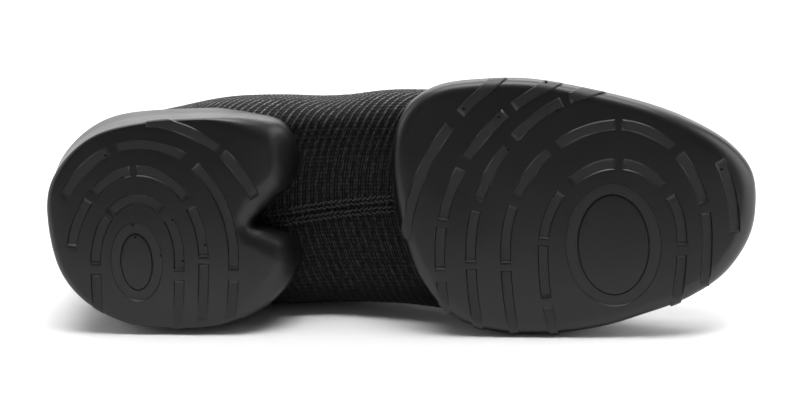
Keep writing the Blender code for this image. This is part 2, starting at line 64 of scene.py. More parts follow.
# Centres of the upper's rounded ends, then places as shares of the length
HEEL_X = 35 / 265 * LENGTH
TOE_X = 225 / 265 * LENGTH
COLLAR_BACK = 8 / 265
COLLAR_FRONT = 112 / 265
UPPER_BACK = 3.2 / 265
UPPER_TOE = 260.5 / 265

# Half widths, medial and lateral, as shares of the ball width, by share of the length
SIDE_TABLE = [
    (0.132, 0.367, 0.378), (0.226, 0.388, 0.408), (0.321, 0.400, 0.413), (0.396, 0.403, 0.411),
    (0.491, 0.408, 0.437), (0.566, 0.428, 0.449), (0.660, 0.464, 0.464), (0.755, 0.455, 0.414),
    (0.849, 0.383, 0.317),
]
# Foot bed between fore height (0) and heel height (1); belly and ridge as shares of the instep
# height; collar's rim as a share of its height; all by share of the length
BED_TABLE = [
    (0.00, 1.12), (0.13, 1.00), (0.24, 1.00), (0.33, 1.14), (0.40, 1.24), (0.49, 0.74),
    (0.57, 0.24), (0.66, 0.00), (0.76, 0.00), (0.85, 0.12), (0.93, 0.40), (1.00, 0.75),
]
BELLY_TABLE = [(0.0, 0.18), (0.3, 0.20), (0.45, 0.19), (0.66, 0.11), (0.85, 0.095), (1.0, 0.085)]
COLLAR_TABLE = [(0.03, 1.0), (0.13, 0.93), (0.23, 0.87), (0.34, 0.875), (0.423, 0.913)]
RIDGE_TABLE = [
    (0.423, 1.0), (0.49, 0.89), (0.566, 0.75), (0.66, 0.62), (0.755, 0.53), (0.849, 0.46),
]
# Collar's opening, as in the side table
OPENING_TABLE = [
    (0.13, 0.295, 0.295), (0.21, 0.300, 0.332), (0.30, 0.305, 0.372), (0.43, 0.310, 0.350),
]
# Plan outlines: thousandths of the length, thousandths of the pod's width
HEEL_OUTLINE = [
    (-4, -30), (11, 190), (46, 346), (103, 460), (168, 500),
    (234, 499), (292, 453), (334, 354), (353, 232), (341, 121),
    (309, 60), (287, 27), (309, -54), (341, -144), (349, -277),
    (330, -424), (283, -482), (218, -492), (141, -487), (75, -446),
    (29, -348), (0, -203),
]
FORE_OUTLINE = [
    (487, -100), (496, 40), (511, 185), (537, 310), (569, 408),
    (610, 468), (664, 497), (724, 500), (785, 481), (845, 437),
    (907, 382), (958, 299), (992, 166), (1000, 25), (991, -95),
    (958, -204), (905, -299), (838, -382), (762, -444), (681, -492),
    (616, -500), (556, -487), (517, -435), (494, -350), (485, -230),
]
# Badges: middle, outer and inner oval. Rings round them: reach back, ahead, lateral, medial.
# Lengthwise as shares of the length, sideways of the ball width
HEEL_BADGE = [(0.1235, 0.142), (0.0370, 0.155), (0.0226, 0.111)]
FORE_BADGE = [(0.7975, 0.156), (0.0675, 0.240), (0.0502, 0.195)]
HEEL_RINGS = [
    (0.0585, 0.0604, 0.247, 0.72), (0.0940, 0.0951, 0.356, 0.82), (0.1245, 0.1377, 0.458, 0.82),
    (0.1660, 0.1850, 0.546, 0.82),
]
FORE_RINGS = [
    (0.0989, 0.0962, 0.314, 0.62), (0.1517, 0.1321, 0.464, 0.82), (0.2008, 0.1717, 0.603, 0.93),
    (0.2445, 0.2150, 0.675, 0.93), (0.2936, 0.2640, 0.789, 0.93),
]
# Tread bars by ring: start and end in degrees
HEEL_BARS = {
    1: [(232, 305), (319, 363), (366.5, 385), (130, 176.5), (180, 226)],
    2: [(230, 265), (271, 318), (325, 358.5), (361.5, 377), (192, 224)],
    3: [(216, 252), (258, 299), (308, 363), (366.5, 377)],
    4: [(275, 309), (312, 335)],
}
FORE_BARS = {
    1: [(233, 270), (278, 317), (326, 361), (365, 390), (187, 221), (162, 181), (144, 158)],
    2: [(239, 270), (275, 308), (314, 342), (347, 373), (206, 233), (176.5, 201), (156, 174)],
    3: [(252, 270), (226, 248), (199, 221), (177.5, 195), (160, 175.5), (330.5, 358)],
    4: [(235, 252), (212, 231), (191, 208), (176, 188), (164, 172.5)],
    5: [(223, 238), (184, 218)],
}
BAR_WIDTH = 0.0039
BAR_DEPTH = 0.0009
BAR_PROUD = 0.0007  # where the tread curves away, a bar stands out at most this far
BADGE_DEPTH = 0.0005
# Pin-holes of the moulds, places in mm
HEEL_PITS = [
    (21.5, -27.0), (27.6, -18.4), (46.3, -1.8), (58.5, 8.6), (49.9, 14.2), (47.0, 16.7),
    (41.8, 11.6), (32.4, 4.2), (31.5, -0.3),
]
FORE_PITS = [
    (190.0, -36.3), (172.0, -22.4), (168.5, -34.8), (155.5, -38.6), (251.4, -10.7),
    (185.8, -46.0), (165.5, -48.4),
]

# Where the treads leave the flat: start and end as shares of length, rise at the end
HEEL_BEVEL = (0.038, 0.0, 0.0012)
LOBE_RISE = (0.253, 0.355, 0.53 * HEEL_HEIGHT)
TOE_RISE = (0.838, 1.0, TOE_SPRING)
REAR_RISE = (0.566, 0.491, 0.0022)
# Crown across a tread: its lowest line as a share of the pod's width, rise at the lateral edge
HEEL_CROWN = (0.0625, 0.0018)
FORE_CROWN = (0.155, 0.0032)
# Radius of a tread's edge at the back, side and lobes, and at the ball and toe
HEEL_ROLL = (0.0026, 0.0014, 0.0090)
FORE_ROLL = (0.0048, 0.0060)
# How much further a pod's rim stands in (out, where negative): heel's back corner and lobes, toe
HEEL_LEAN = (-0.0014, 0.0015)
TOE_LEAN = -0.0008
# Side walls of the pods: share of the height, mm inside the outline; rim above the foot bed
HEEL_WALL = [(0.25, 0.0), (0.46, -0.02), (0.495, 0.03), (0.515, 0.22), (0.53, 0.42), (0.55, 0.46),
             (0.70, 0.16), (0.85, -0.13), (0.95, -0.34), (0.985, -0.32), (1.0, -0.15)]
FORE_WALL = [(0.25, 0.1), (0.55, 0.4), (0.80, 0.8), (0.95, 1.05), (0.985, 1.15), (1.0, 1.35)]
HEEL_RISE = 0.0075
FORE_RISE = 0.0055
# Lid under the foot: mm inside the rim, then shares of the way out from the middle; gap in metres
LID_INSETS = (0.35, 0.8, 1.2, 1.6, 2.0, 2.4, 2.9, 3.5, 4.2, 5.0)
LID_SHARES = (0.86, 0.7, 0.5, 0.25)
LID_GAP = 0.0004

# Sections across an edge: signed distance from it in mm, share of the depth
BAR_SIDE = [(-0.30, 1.0), (0.08, 0.0)]
BAR_END = {"medial": [(-0.75, 1.0), (0.45, 0.0)], "lateral": [(-0.15, 1.0), (0.45, 0.0)]}
BAR_CORNER = 0.00015
# Lines that the mesh follows round a bar: mm outside its ends, mm outside its sides
BAR_LINES = [(0.85, 0.45), (0.45, 0.08), (-0.15, -0.11), (-0.75, -0.30), (-1.15, -0.65)]
BAND_SECTION = [(-0.60, 1.0), (-0.30, 1.0), (0.06, 0.0), (0.40, 0.0)]
INNER_SECTION = [(-0.80, 0.45), (-0.42, 0.50), (-0.14, 1.9), (0.08, 1.9), (0.30, 1.0), (0.6, 1.0)]
PIT_SECTION = [(0.24, 1.0), (0.50, 0.0), (0.85, 0.0)]
PIT_DEPTH = 0.0007
# Mesh of a tread: degrees round its rolled edge, spacing and slant of the points between the
# lines, and their least distance from the edge
ROLL_STEPS = (0, 10, 20, 30, 40, 50, 60, 70, 80, 90)
TREAD_GRID = 0.0019
GRID_SLANT = 0.31
GRID_GAP = 0.001
BAR_SPACING = 0.0009
BAR_STEPS = 80
OVAL_POINTS = 180
PIT_POINTS = 10
CURVE_STEPS = 40
END_MIX = 0.3  # a bar's end counts as medial or lateral beyond this slant
EDGE_POWER = 2.35  # the rolled edge starts softer than a circle's arc
FLOOR_FOLLOW = 0.85  # the bars' floors stay almost flat where the tread is crowned
RELIEF_END = (1.31, 1.54)  # lean of the rolled edge, in radians, over which the relief ends
WELD = 2e-6  # points of a mesh nearer than this are one

# Rounded toe and heel of the upper: centre, reach lengthwise, power of the curve
FANS = [(TOE_X, UPPER_TOE * LENGTH - TOE_X, 1.95), (HEEL_X, HEEL_X - UPPER_BACK * LENGTH, 2.25)]
FLAT_SHARE = 0.80
# Ribs of the upper, closer together where the knit is in full view under the arch
KNIT_ZONE = (0.076, 0.154)
RIB_STEPS = {"back": 0.0011, "knit": 0.0004, "front": 0.0016}
TOE_FAN_RIBS = 64
HEEL_FAN_RIBS = 84
FAN_RUN = {"toe": 0.036, "heel": 0.030}
UNDER_SHARES = np.concatenate([np.linspace(0, 0.12, 11), np.linspace(0.15, FLAT_SHARE, 18)])
UNDER_ROWS = len(UNDER_SHARES)
FEATHER_ROWS = 12
SIDE_ROWS = 46
CUFF_SHARE = 0.81
CUFF_FRONT = 123 / 265
CUFF_ROWS = 10
CUFF_EDGES = (0.004, 0.02)  # first rows of the cuff, as shares beyond its start
CUFF_STEP = 0.0010
CUFF_RIB = (0.0030, 0.00030)  # pitch and height of the cuff's ribbing
RIM_STEPS = 6
RIM_RUN = 0.003  # length of knit round the rim
WALE_PITCH = 0.0030  # knit ridges under the arch
WALE_HEIGHT = 0.00022
KNIT_FADE = (0.074, 0.080, 0.150, 0.156)
COLLAR_POWER = 3.2  # how square the collar's front is
SIDE_POWER = 1.1  # how soon the sides lean in
VAMP_START = 0.23
TOE_GAP = 0.0008  # the last rib ends this far before the toe's fan
# Lean of the ridges in mm: at a height in mm with a power; per mm and per square mm of height
LATERAL_SWEEP = (2.6, 20, 2.3)
MEDIAL_SWEEP = (0.15, 0.005)

# Soft folds on the lateral side: place and width along the shoe, place and width up the side
# from the seam, and rise, negative for a trough, all in mm
FOLDS = [(70, 20, 52, 22, 1.9), (92, 8, 48, 16, 0.5), (106, 10, 46, 14, -0.6), (146, 11, 46, 15, -1.1),
         (126, 7, 44, 14, 0.3), (60, 6, 40, 12, -0.5)]

# Welt of the seam: mm from its line, width in mm, height in mm
WELT = [(-2.0, 0.85, 0.50), (2.0, 0.85, 0.50), (0.0, 0.50, -0.32), (3.9, 0.6, -0.15),
        (-3.9, 0.6, -0.15)]
WELT_LIMIT = 0.0005  # the welt stays below this height over the foot bed
WELT_ENDS = (-0.003, 0.001, -0.001, 0.002)  # round the start and the end of its line
# Arch seam, in plan: start and end of its line, and its rows
SEAM_LINE = [(0.0790, 0.0033), (0.1300, -0.0016)]
SEAM_ROWS = [-0.0029, -0.0012, 0.0012, 0.0029]
SEAM_LIFT = -0.0002
SEAM_SEED = 11
# Thread loops: pitch, radius, height, share of the pitch they span, slant, spread of the ends
STITCH = (0.0019, 0.00027, 0.00034, 0.92, 0.0004, 0.00012)
THREAD_SIDES = 7
THREAD_STEPS = 7

# Rubber: colours of tread and floors, noise scales, roughness
TREAD_COLOR = (0.0046, 0.0047, 0.0050)
FLOOR_COLOR = (0.0105, 0.0107, 0.0112)
GRAIN_SCALE = 2600.0
CLOUD_SCALE = 38.0
GRAIN_BUMP = (0.00003, 0.5)
RUBBER_ROUGHNESS = (0.31, 0.39)
FLOOR_ROUGHNESS = 0.10

# Knit: colours of ground and cords, pitches in mm, powers that narrow the lines. The light cord colour
# carries a painted highlight on the lit lateral top; the near-black ground also stands in for painted
# shade in valleys, gaps and holes
KNIT_GROUND = (0.0014, 0.0014, 0.0016)
KNIT_CORD = (0.210, 0.210, 0.215)
LOOP_PITCH = 1.3
HOLE_PITCH = 2.6
COURSE_PITCH = 1.5
CORD_POWER = 8.0
FINE_POWER = 4.0
SOFT_POWER = 1.5
KNIT_PAINTED_HIGHLIGHT = (0.62, 0.86)  # side of the upper, 1 at the lateral edge, where the cords get a painted highlight from the top light
KNIT_PAINTED_SHADE = (-0.72, -0.56)  # and where painted shade fades the cords on the medial side, which lies in the dark
MESH_BAND = (19.0, 22.0, 31.0, 34.0)  # mm up the side: the open mesh starts and ends; its holes are painted dark as shade
HOLE_RANGE = (0.15, 0.45)
STREAK_SCALE = (5.0, 0.35)  # per ridge and per mm of height
STREAK_RANGE = (0.34, 0.66, 0.10, 1.25)
FRAY_SCALE = 1100.0
FRAY_RANGE = (0.32, 0.68, 0.35, 1.15)
KNIT_BUMP = (0.00035, 0.9)
KNIT_ROUGHNESS = (0.0, 0.6, 0.95, 0.50)

# Cloths: nap scale and detail, patch scale, dark, light, bump distance and strength, roughness,
# sheen
CLOTHS = {
    "lining_cloth": (1800.0, 3.0, None, (0.010, 0.010, 0.011), (0.020, 0.020, 0.021),
                     0.00015, 0.7, 0.85, 0.2),
    "seam_thread": (5200.0, 2.0, None, (0.002, 0.002, 0.0022), (0.010, 0.010, 0.0105),
                    0.00006, 0.8, 0.5, 0.2),
    "insole_foam": (900.0, 4.0, 45.0, (0.018, 0.018, 0.019), (0.050, 0.050, 0.053),
                    0.00020, 0.8, 0.9, 0.3),
}

# Stage: floor from in front of the camera to a bend behind the shoe, then up, in metres
FLOOR_TONES = ((0.90, 0.90, 0.90), (0.92, 0.92, 0.92))
FLOOR_BEND = 1.4
BEND_RADIUS = 1.1
SWEEP_SIZE = 4.0  # half width, and height at the back
ROOM_LIGHT = (0.14, 0.14, 0.14)
FLOOR_START = -3.0
# Name, place, aim, width, depth, watts, spread in degrees
SOFTBOXES = [
    ("top_softbox", (0.0, -0.04, 0.70), (0.0, -0.02, 0.0), 0.8, 0.32, 1.3, 75),
    ("rear_softbox", (0.0, 0.75, 0.78), (0.0, 0.0, 0.05), 1.1, 0.20, 5.5, 180),
    ("wall_softbox", (0.0, 1.30, 2.10), (0.0, 2.40, 0.75), 3.4, 0.6, 75.0, 180),
    ("left_softbox", (-1.5, 0.1, 0.55), (0.0, 0.0, 0.03), 0.9, 1.4, 7.0, 180),
    ("right_softbox", (1.5, 0.2, 0.55), (0.0, 0.0, 0.03), 0.9, 1.4, 11.0, 180),
]

# Camera: fitted to the photograph, whose frame is 800 by 404 pixels
PHOTO_SIZE = (800, 404)
PHOTO_CENTRE = (406.0, 184.0)  # where the view's axis meets the photograph
FOCAL_PIXELS = 3375.0
VIEW_ANGLE = (2.08, 17.78)  # azimuth and elevation in degrees
VIEW_ROLL = -0.44
VIEW_DISTANCE = 1.3
VIEW_TARGET = Vector((0.0008, 0.0003, 0.0446))


def curve(table, x, column=1):
    """Smooth curve through the rows of a table, for an array of x."""
    xs = np.array([row[0] for row in table])
    ys = np.array([row[column] for row in table])
    x = np.clip(np.asarray(x, float), xs[0], xs[-1])
    i = np.clip(np.searchsorted(xs, x) - 1, 0, len(xs) - 2)
    slope = np.empty(len(xs))
    slope[1:-1] = (ys[2:] - ys[:-2]) / (xs[2:] - xs[:-2])
    slope[0] = (ys[1] - ys[0]) / (xs[1] - xs[0])
    slope[-1] = (ys[-1] - ys[-2]) / (xs[-1] - xs[-2])
    span = xs[i + 1] - xs[i]
    t = (x - xs[i]) / span
    return ((2 * t**3 - 3 * t**2 + 1) * ys[i] + (t**3 - 2 * t**2 + t) * span * slope[i]
            + (3 * t**2 - 2 * t**3) * ys[i + 1] + (t**3 - t**2) * span * slope[i + 1])


def ease(x, start, end):
    """0 before start, 1 after end."""
    t = np.clip((np.asarray(x, float) - start) / (end - start), 0.0, 1.0)
    return t * t * (3 - 2 * t)


def bed(x):
    return FORE_HEIGHT + (HEEL_HEIGHT - FORE_HEIGHT) * curve(BED_TABLE, x / LENGTH)


def belly_rise(x):
    return INSTEP_HEIGHT * curve(BELLY_TABLE, x / LENGTH)


def half_width(table, x, side):
    share = np.asarray(x) / LENGTH
    return BALL_WIDTH * np.where(np.asarray(side) > 0, curve(table, share, 1), curve(table, share, 2))


def curl(x, rise):
    start, end, height = rise
    return height * np.maximum((x / LENGTH - start) / (end - start), 0) ** 2


def heel_ground(x):
    return curl(x, HEEL_BEVEL) + curl(x, LOBE_RISE)


def fore_ground(x):
    return curl(x, TOE_RISE) + curl(x, REAR_RISE)


def heel_roll(p):
    back, side, lobe = HEEL_ROLL
    radius = back + (side - back) * ease(np.abs(p[:, 1]) / HEEL_WIDTH, 0.25, 0.42)
    return radius + (lobe - radius) * ease(p[:, 0] / LENGTH, 0.220, 0.321)


def fore_roll(p):
    ball, toe = FORE_ROLL
    return ball + (toe - ball) * ease(p[:, 0] / LENGTH, 0.85, 0.96)


def heel_lean(p):
    corner = ease(-p[:, 1] / HEEL_WIDTH, 0.0, 0.30) * (1 - ease(p[:, 0] / LENGTH, 0.08, 0.20))
    inward = np.maximum(ease(p[:, 0] / LENGTH, 0.22, 0.32), ease(p[:, 1] / HEEL_WIDTH, 0.10, 0.35))
    return HEEL_LEAN[0] * corner + HEEL_LEAN[1] * inward


def fore_lean(p):
    return TOE_LEAN * ease(p[:, 0] / LENGTH, 0.80, 0.90)


def skewed(points):
    """Plan points of a tread from their places in the tables."""
    points = np.array(points, float)
    points[..., 0] -= TREAD_SKEW * points[..., 1]
    return points


def fan_reaches(c, s):
    """Reach of the upper from the centres of its rounded toe and heel, in one direction."""
    out = []
    for x, ahead, power in FANS:
        across = half_width(SIDE_TABLE, x, s)
        out.append(((np.abs(c) / ahead)**power + (np.abs(s) / across)**power) ** (-1 / power))
    return out


def plan_reach(x, y):
    """For points in plan: distance from the spine and reach of the upper that way."""
    anchor = np.clip(x, HEEL_X, TOE_X)
    r = np.hypot(x - anchor, y)
    safe = np.maximum(r, 1e-9)
    c, s = (x - anchor) / safe, y / safe
    side = half_width(SIDE_TABLE, anchor, y)
    toe, heel = fan_reaches(c, s)
    return r, np.where(x > TOE_X, toe, np.where(x < HEEL_X, heel, side))


def underside(x, y):
    """Height of the upper's outer face over a point in plan, up to its belly."""
    r, reach = plan_reach(x, y)
    share = np.clip((r / reach - FLAT_SHARE) / (1 - FLAT_SHARE), 0, 1)
    return bed(x) + belly_rise(x) * (1 - np.sqrt(1 - share**2))


def add_object(name, data):
    obj = bpy.data.objects.new(name, data)
    bpy.context.scene.collection.objects.link(obj)
    return obj


def world_mesh(name, points, faces, material, smooth_angle=None, uv=None, second=None,
               values=None):
    """Mesh from shoe-frame points, laid down as the CAD shoe lies; values are named floats."""
    turn = np.array(LAID)
    laid = points @ turn[:3, :3].T + turn[:3, 3]
    mesh = bpy.data.meshes.new(name)
    mesh.from_pydata(laid.tolist(), [], faces)
    if uv is not None:
        layer = mesh.uv_layers.new(name="UVMap")
        loops = np.empty(len(mesh.loops), dtype=np.int32)
        mesh.loops.foreach_get("vertex_index", loops)
        layer.data.foreach_set("uv", uv[loops].astype(np.float32).ravel())
    for key, numbers in (values or {}).items():
        layer = mesh.attributes.new(key, "FLOAT", "POINT")
        layer.data.foreach_set("value", numbers.astype(np.float32))
    if second:
        mesh.polygons.foreach_set("material_index", second[1].astype(np.int32))
    bm = bmesh.new()
    bm.from_mesh(mesh)
    loose = [vert for vert in bm.verts if not vert.link_faces]
    bmesh.ops.delete(bm, geom=loose, context="VERTS")
    bmesh.ops.remove_doubles(bm, verts=bm.verts, dist=WELD)
    bmesh.ops.recalc_face_normals(bm, faces=bm.faces)
    bm.to_mesh(mesh)
    bm.free()
    mesh.shade_smooth()
    if smooth_angle:
        mesh.set_sharp_from_angle(angle=math.radians(smooth_angle))
    mesh.materials.append(material)
    if second:
        mesh.materials.append(second[0])
    return add_object(name, mesh)


def attach(obj, slot, *nodes):
    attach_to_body(obj, "root")
    if nodes:
        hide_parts(*nodes)


def unit(rows):
    return rows / np.linalg.norm(rows, axis=1)[:, None]


def runs(line):
    """Length along a line up to each of its points."""
    return np.concatenate([[0], np.cumsum(np.linalg.norm(np.diff(line, axis=0), axis=1))])


def circle(count):
    a = np.linspace(0, 2 * math.pi, count, endpoint=False)
    return np.stack([np.cos(a), np.sin(a)], 1)


def between(targets, run, rows):
    """Rows in between the given ones, at these lengths along their line."""
    return np.stack([np.interp(targets, run, rows[:, k]) for k in (0, 1)], 1)


def closed_curve(points, count):
    """Even points along the smooth closed curve through the given ones."""
    points = np.array(points)
    t = np.linspace(0, 1, CURVE_STEPS, endpoint=False)[:, None]
    fine = []
    for i in range(len(points)):
        p0, p1, p2, p3 = (points[(i + k) % len(points)] for k in (-1, 0, 1, 2))
        fine.append(0.5 * (2 * p1 + (p2 - p0) * t + (2 * p0 - 5 * p1 + 4 * p2 - p3) * t**2
                           + (3 * p1 - p0 - 3 * p2 + p3) * t**3))
    fine = np.concatenate(fine)
    closed = np.vstack([fine, fine[:1]])
    run = runs(closed)
    return between(np.linspace(0, run[-1], count, endpoint=False), run, closed)


class Outline:
    """A pod's plan outline: distance, inward direction and place of the nearest edge point."""

    def __init__(self, table, width, count, middle):
        plan = [(x / 1000 * LENGTH, y / 1000 * width) for x, y in table]
        self.loop = closed_curve(skewed(plan), count)
        self.next = np.roll(self.loop, -1, 0)
        tangent = unit(self.next - np.roll(self.loop, 1, 0))
        inward = np.stack([-tangent[:, 1], tangent[:, 0]], 1)
        facing = np.sign(((middle - self.loop) * inward).sum(1).mean())
        self.inward = inward * facing

    def nearest(self, points):
        """Distance to the edge, nearest edge point and inward direction there."""
        span = self.next - self.loop
        length2 = (span**2).sum(1)
        distance, place, inward = [], [], []
        for chunk in np.array_split(points, max(1, len(points) // 2000)):
            d = chunk[:, None] - self.loop[None]
            t = np.clip((d * span).sum(2) / length2, 0, 1)
            gap2 = ((d - t[..., None] * span) ** 2).sum(2)
            best = gap2.argmin(1)
            t = t[np.arange(len(chunk)), best][:, None]
            distance.append(np.sqrt(gap2.min(1)))
            place.append(self.loop[best] + t * span[best])
            n = self.inward[best] * (1 - t) + np.roll(self.inward, -1, 0)[best] * t
            inward.append(unit(n))
        return np.concatenate(distance), np.concatenate(place), np.concatenate(inward)

    def contains(self, points):
        inside = np.zeros(len(points), bool)
        for a, b in zip(self.loop, self.next):
            crosses = (a[1] > points[:, 1]) != (b[1] > points[:, 1])
            at = a[0] + (points[:, 1] - a[1]) * (b[0] - a[0]) / (b[1] - a[1] + 1e-15)
            inside ^= crosses & (points[:, 0] < at)
        return inside


def ring_points(badge, ring, degrees):
    """Points on a ring round the badge: four quarter ellipses with their own reach."""
    back, front, lateral, medial = ring
    c, s = np.cos(np.radians(degrees)), np.sin(np.radians(degrees))
    x = badge[0][0] + c * np.where(c > 0, front, back)
    y = badge[0][1] + s * np.where(s > 0, medial, lateral)
    return skewed(np.stack([x, y], -1) * PLAN)


class Bar:
    """A tread bar: rectangle bent along its ring, steep all round but for its ramped medial end."""

    def __init__(self, badge, ring, start, end):
        self.line = ring_points(badge, ring, np.linspace(start, end, BAR_STEPS))
        self.tangent = unit(np.gradient(self.line, axis=0))
        self.run = runs(self.line)
        self.half = np.array([self.run[-1] / 2, BAR_WIDTH / 2])

    def share(self, points):
        """0 outside the bar, 1 on its floor."""
        out = np.zeros(len(points))
        reach = BAR_WIDTH
        box = np.all((points > self.line.min(0) - reach) & (points < self.line.max(0) + reach), 1)
        near = np.where(box)[0]
        if len(near):
            p = points[near]
            best = ((p[:, None] - self.line[None]) ** 2).sum(2).argmin(1)
            d, t = p - self.line[best], self.tangent[best]
            along = self.run[best] + (d * t).sum(1) - self.half[0]
            across = -d[:, 0] * t[:, 1] + d[:, 1] * t[:, 0]
            medial = ease(np.sign(along) * t[:, 1], -END_MIX, END_MIX)
            beyond = np.abs(along) - self.half[0]
            ends = (section(BAR_END["medial"], beyond) * medial
                    + section(BAR_END["lateral"], beyond) * (1 - medial))
            out[near] = np.minimum(ends, section(BAR_SIDE, np.abs(across) - self.half[1]))
        return out

    def contour(self, end_gap, side_gap):
        """Closed line in plan at these distances outside the bar's ends and sides."""
        inner = self.half + np.array([end_gap, side_gap]) * MM
        arc = np.radians(np.linspace(0, 90, 4))
        corners = []
        for k, (sx, sy) in enumerate([(1, 1), (-1, 1), (-1, -1), (1, -1)]):
            turn = arc + k * math.pi / 2
            corners.append(np.stack([sx * (inner[0] - BAR_CORNER) + BAR_CORNER * np.cos(turn),
                                     sy * (inner[1] - BAR_CORNER) + BAR_CORNER * np.sin(turn)],
                                    1))
        steps = max(3, int(self.run[-1] / BAR_SPACING))
        top = np.linspace(corners[0][-1], corners[1][0], steps)[1:-1]
        low = np.linspace(corners[2][-1], corners[3][0], steps)[1:-1]
        flat = np.concatenate([corners[0], top, corners[1], corners[2], low, corners[3]])
        along = flat[:, 0] + self.half[0]
        t = unit(between(along, self.run, self.tangent))
        beyond = along - np.clip(along, 0, self.run[-1])
        return (between(along, self.run, self.line) + t * beyond[:, None]
                + np.stack([-t[:, 1], t[:, 0]], 1) * flat[:, 1:])


def oval(badge, axes, offset):
    """Closed line in plan at a distance outside an oval of the badge."""
    half = np.array(badge[axes]) * PLAN
    p = circle(OVAL_POINTS)
    return skewed(badge[0] * PLAN) + p * half + unit(p / half) * offset


def oval_distance(points, badge, axes):
    """Signed distance in plan to an oval of the badge, negative inside."""
    half = np.array(badge[axes]) * PLAN
    d = (points - skewed(badge[0] * PLAN)) / half
    q = np.maximum(np.linalg.norm(d, axis=1), 1e-6)
    return (q - 1) * q / np.maximum(np.linalg.norm(d / half, axis=1), 1e-6)


def section(table, distance):
    return np.interp(distance, [row[0] * MM for row in table], [row[1] for row in table])


def edge_profile(distance, radius):
    """Lean and rise of a rolled edge at a distance inside the outline."""
    u = np.clip(1 - distance / radius, 0, 1)
    level = np.maximum(1 - u**EDGE_POWER, 1e-9)
    rise = radius * (1 - level ** (1 / EDGE_POWER))
    slope = u ** (EDGE_POWER - 1) * level ** (1 / EDGE_POWER - 1)
    return np.arctan(slope), rise


